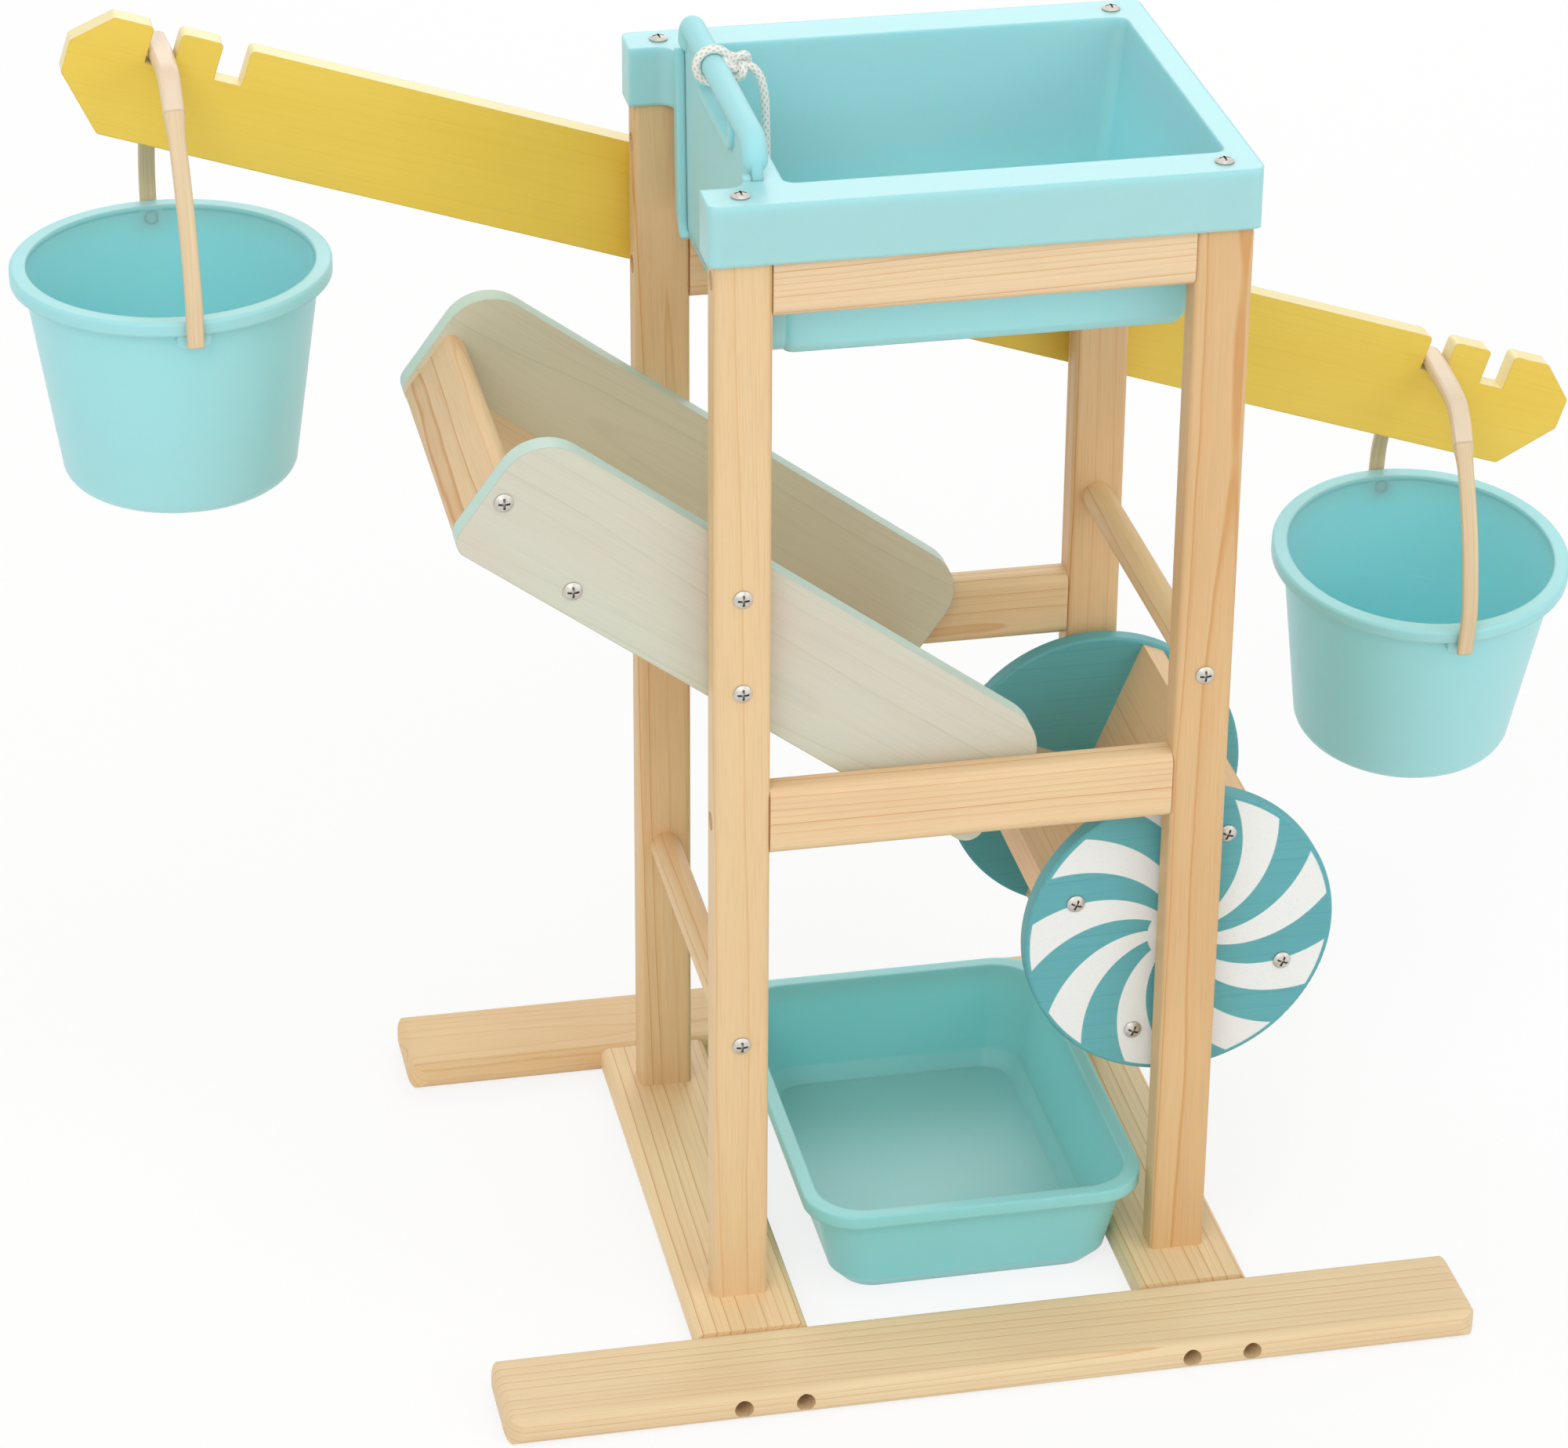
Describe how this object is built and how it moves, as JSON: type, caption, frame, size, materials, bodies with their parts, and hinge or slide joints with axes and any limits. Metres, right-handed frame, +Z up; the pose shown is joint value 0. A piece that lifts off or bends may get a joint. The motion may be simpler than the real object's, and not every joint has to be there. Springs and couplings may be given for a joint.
{
  "type": "sand wheel toy",
  "caption": "Wooden tower sand toy with a drained tray and lift gate, tilted chute, paddle wheel, catch tub, and a notched swinging beam with hanging buckets.",
  "frame": {"origin": "on the ground at the middle of the two feet, under the tub", "axes": "+X to the right along the feet, +Y away from the front, +Z up"},
  "size_m": [0.8219, 0.4104, 0.6404],
  "materials": {
    "pine": "planed pine, clear matt",
    "blue_plastic": "light blue moulded plastic, satin",
    "pale_stain": "pale grey-green stained wood",
    "wheel_paint": "teal paint with a white swirl on the front",
    "yellow_paint": "yellow paint, satin",
    "beige_plastic": "beige moulded plastic",
    "steel": "zinc plated screws and bolt",
    "cord": "white braided cord"
  },
  "bodies": {
    "frame": {"foot_front": "pine", "foot_rear": "pine", "base_plank_left": "pine", "base_plank_right": "pine", "foot_screws": "steel", "post_front_left": "pine", "post_front_right": "pine", "post_rear_left": "pine", "post_rear_right": "pine", "upper_rail_front": "pine", "mid_rail_front": "pine", "top_rail_rear": "pine", "beam_rail_rear": "pine", "mid_rail_rear": "pine", "rail_screws": "steel", "dowel_left": "pine", "dowel_right": "pine", "frame_screws": "steel", "tray": "blue_plastic", "tray_screws": "steel", "chute_side_front": "pale_stain", "chute_side_rear": "pale_stain", "chute_floor": "pine", "chute_end_board": "pine", "chute_screws": "steel", "wheel_axle": "steel", "beam_bolt": "steel", "beam_spacer": "pine", "beam_washer": "steel", "beam_nut": "steel"},
    "wheel": {"wheel_disc_front": "wheel_paint", "wheel_disc_rear": "wheel_paint", "paddle_1": "pine", "paddle_2": "pine", "paddle_3": "pine", "paddle_4": "pine", "wheel_spacers": "pine", "disc_screws": "steel"},
    "beam": {"beam": "yellow_paint"},
    "handle_left": {"handle_left": "beige_plastic"},
    "handle_right": {"handle_right": "beige_plastic"},
    "bucket_left": {"bucket_left": "blue_plastic"},
    "bucket_right": {"bucket_right": "blue_plastic"},
    "gate": {"gate": "blue_plastic", "cord_loop": "cord", "gate_cord": "cord", "cord_end_knot": "cord"},
    "tub": {"tub": "blue_plastic"}
  },
  "joints": [
    {"name": "wheel_spin", "type": "hinge", "parent": "frame", "child": "wheel", "pos_m": [0.115, 0.003, 0.191], "axis": [0, 1, 0], "continuous": true},
    {"name": "beam_tilt", "type": "hinge", "parent": "frame", "child": "beam", "pos_m": [-0.0122, 0.128, 0.495], "axis": [0, 1, 0], "range_deg": [-40, 3.5]},
    {"name": "handle_left_swing", "type": "hinge", "parent": "beam", "child": "handle_left", "pos_m": [-0.35782, 0.128, 0.6156], "axis": [0, 1, 0], "range_deg": [-3.5, 40]},
    {"name": "handle_right_swing", "type": "hinge", "parent": "beam", "child": "handle_right", "pos_m": [0.30412, 0.128, 0.39733], "axis": [0, 1, 0], "range_deg": [-3.5, 40]},
    {"name": "bucket_left_swing", "type": "hinge", "parent": "handle_left", "child": "bucket_left", "pos_m": [-0.35782, 0.128, 0.5001], "axis": [-0.0401, 0.9992, 0], "range_deg": [-28, 50]},
    {"name": "bucket_right_swing", "type": "hinge", "parent": "handle_right", "child": "bucket_right", "pos_m": [0.30412, 0.12577, 0.28095], "axis": [0, 0.9907, 0.1357], "range_deg": [-42, 50]},
    {"name": "gate_lift", "type": "slide", "parent": "frame", "child": "gate", "axis": [0, 0, 1], "range_m": [0, 0.09]},
    {"name": "tub_lift", "type": "slide", "parent": "frame", "child": "tub", "axis": [0, 0, 1], "range_m": [0, 0.04]}
  ],
  "couplings": [
    {"joint": "handle_left_swing", "follows": "beam_tilt", "ratio": -1},
    {"joint": "handle_right_swing", "follows": "beam_tilt", "ratio": -1}
  ]
}
